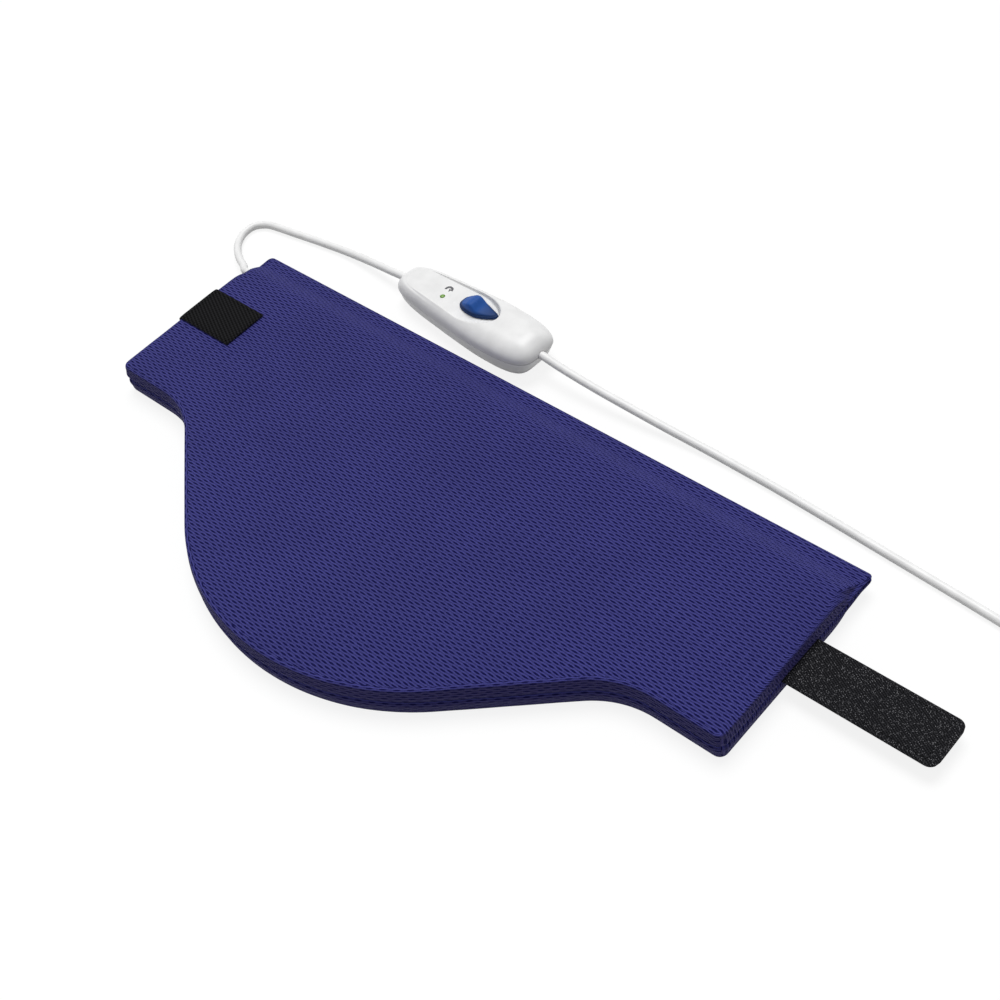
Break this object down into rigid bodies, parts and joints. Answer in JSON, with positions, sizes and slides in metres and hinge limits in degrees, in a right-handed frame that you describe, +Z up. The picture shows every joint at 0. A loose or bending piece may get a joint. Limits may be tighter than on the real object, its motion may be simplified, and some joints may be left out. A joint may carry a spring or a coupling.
{
  "type": "neck heating pad",
  "caption": "Soft boxed heating pad with a rounded bib, a hook and loop strap, an in-line slide control and a coiled mains cord.",
  "frame": {"origin": "centre of the pad's flat underside", "axes": "+X along the straight hem towards the strap, +Y from the rounded bib to the straight hem, +Z up out of the pad's top face"},
  "size_m": [0.7086, 0.3755, 0.0285],
  "materials": {
    "mesh_fabric": "matt knitted mesh in blue violet",
    "black_tape": "matt loop and hook tape",
    "black_webbing": "matt woven webbing",
    "wadding": "soft fibre",
    "carrier_fleece": "felted fleece",
    "heating_element": "smooth insulation",
    "white_plastic": "glossy moulding",
    "blue_plastic": "satin moulding",
    "green_lens": "clear moulded light guide",
    "black_plastic": "matt moulding",
    "circuit_board": "lacquered laminate",
    "steel": "plated",
    "pin_metal": "nickel-plated",
    "white_cord": "smooth sheath"
  },
  "bodies": {
    "root": {"top_cover": "mesh_fabric", "bottom_cover": "mesh_fabric", "top_wadding": "wadding", "bottom_wadding": "wadding", "heater_carrier": "carrier_fleece", "heating_cord": "heating_element", "heating_cord_end_cap": "white_plastic", "joint_cover": "white_plastic", "thermal_cutout": "steel", "cord_bushing": "white_plastic", "inlet_cord": "white_cord", "loop_patch": "black_tape", "strap_root": "black_webbing", "control_top_shell": "white_plastic", "control_bottom_shell": "white_plastic", "slide_switch": "steel", "control_board": "circuit_board", "indicator_lamp": "white_plastic", "indicator_lens": "green_lens", "power_block": "black_plastic", "board_fuse": "steel", "control_screw_1": "steel", "control_screw_2": "steel", "lead_cord_grip": "black_plastic", "mains_cord_grip": "black_plastic", "lead_cord": "white_cord", "mains_cord": "white_cord", "mains_cord_coil": "white_cord", "mains_cord_tail": "white_cord", "coil_tie": "black_tape", "plug_strain_relief": "white_plastic", "plug_body": "white_plastic", "plug_pin_left": "pin_metal", "plug_pin_right": "pin_metal"},
    "slider": {"slider_button": "blue_plastic", "switch_lever": "black_plastic"},
    "strap": {"strap_band": "black_webbing", "hook_tab": "black_tape"}
  },
  "joints": [
    {"name": "power_slide", "type": "slide", "parent": "root", "child": "slider", "axis": [-0.9976, 0.0698, 0], "range_m": [0, 0.008]},
    {"name": "strap_fold", "type": "hinge", "parent": "root", "child": "strap", "pos_m": [0.25015, 0.052, 0.0119], "axis": [0, -1, 0], "range_deg": [0, 120]}
  ]
}
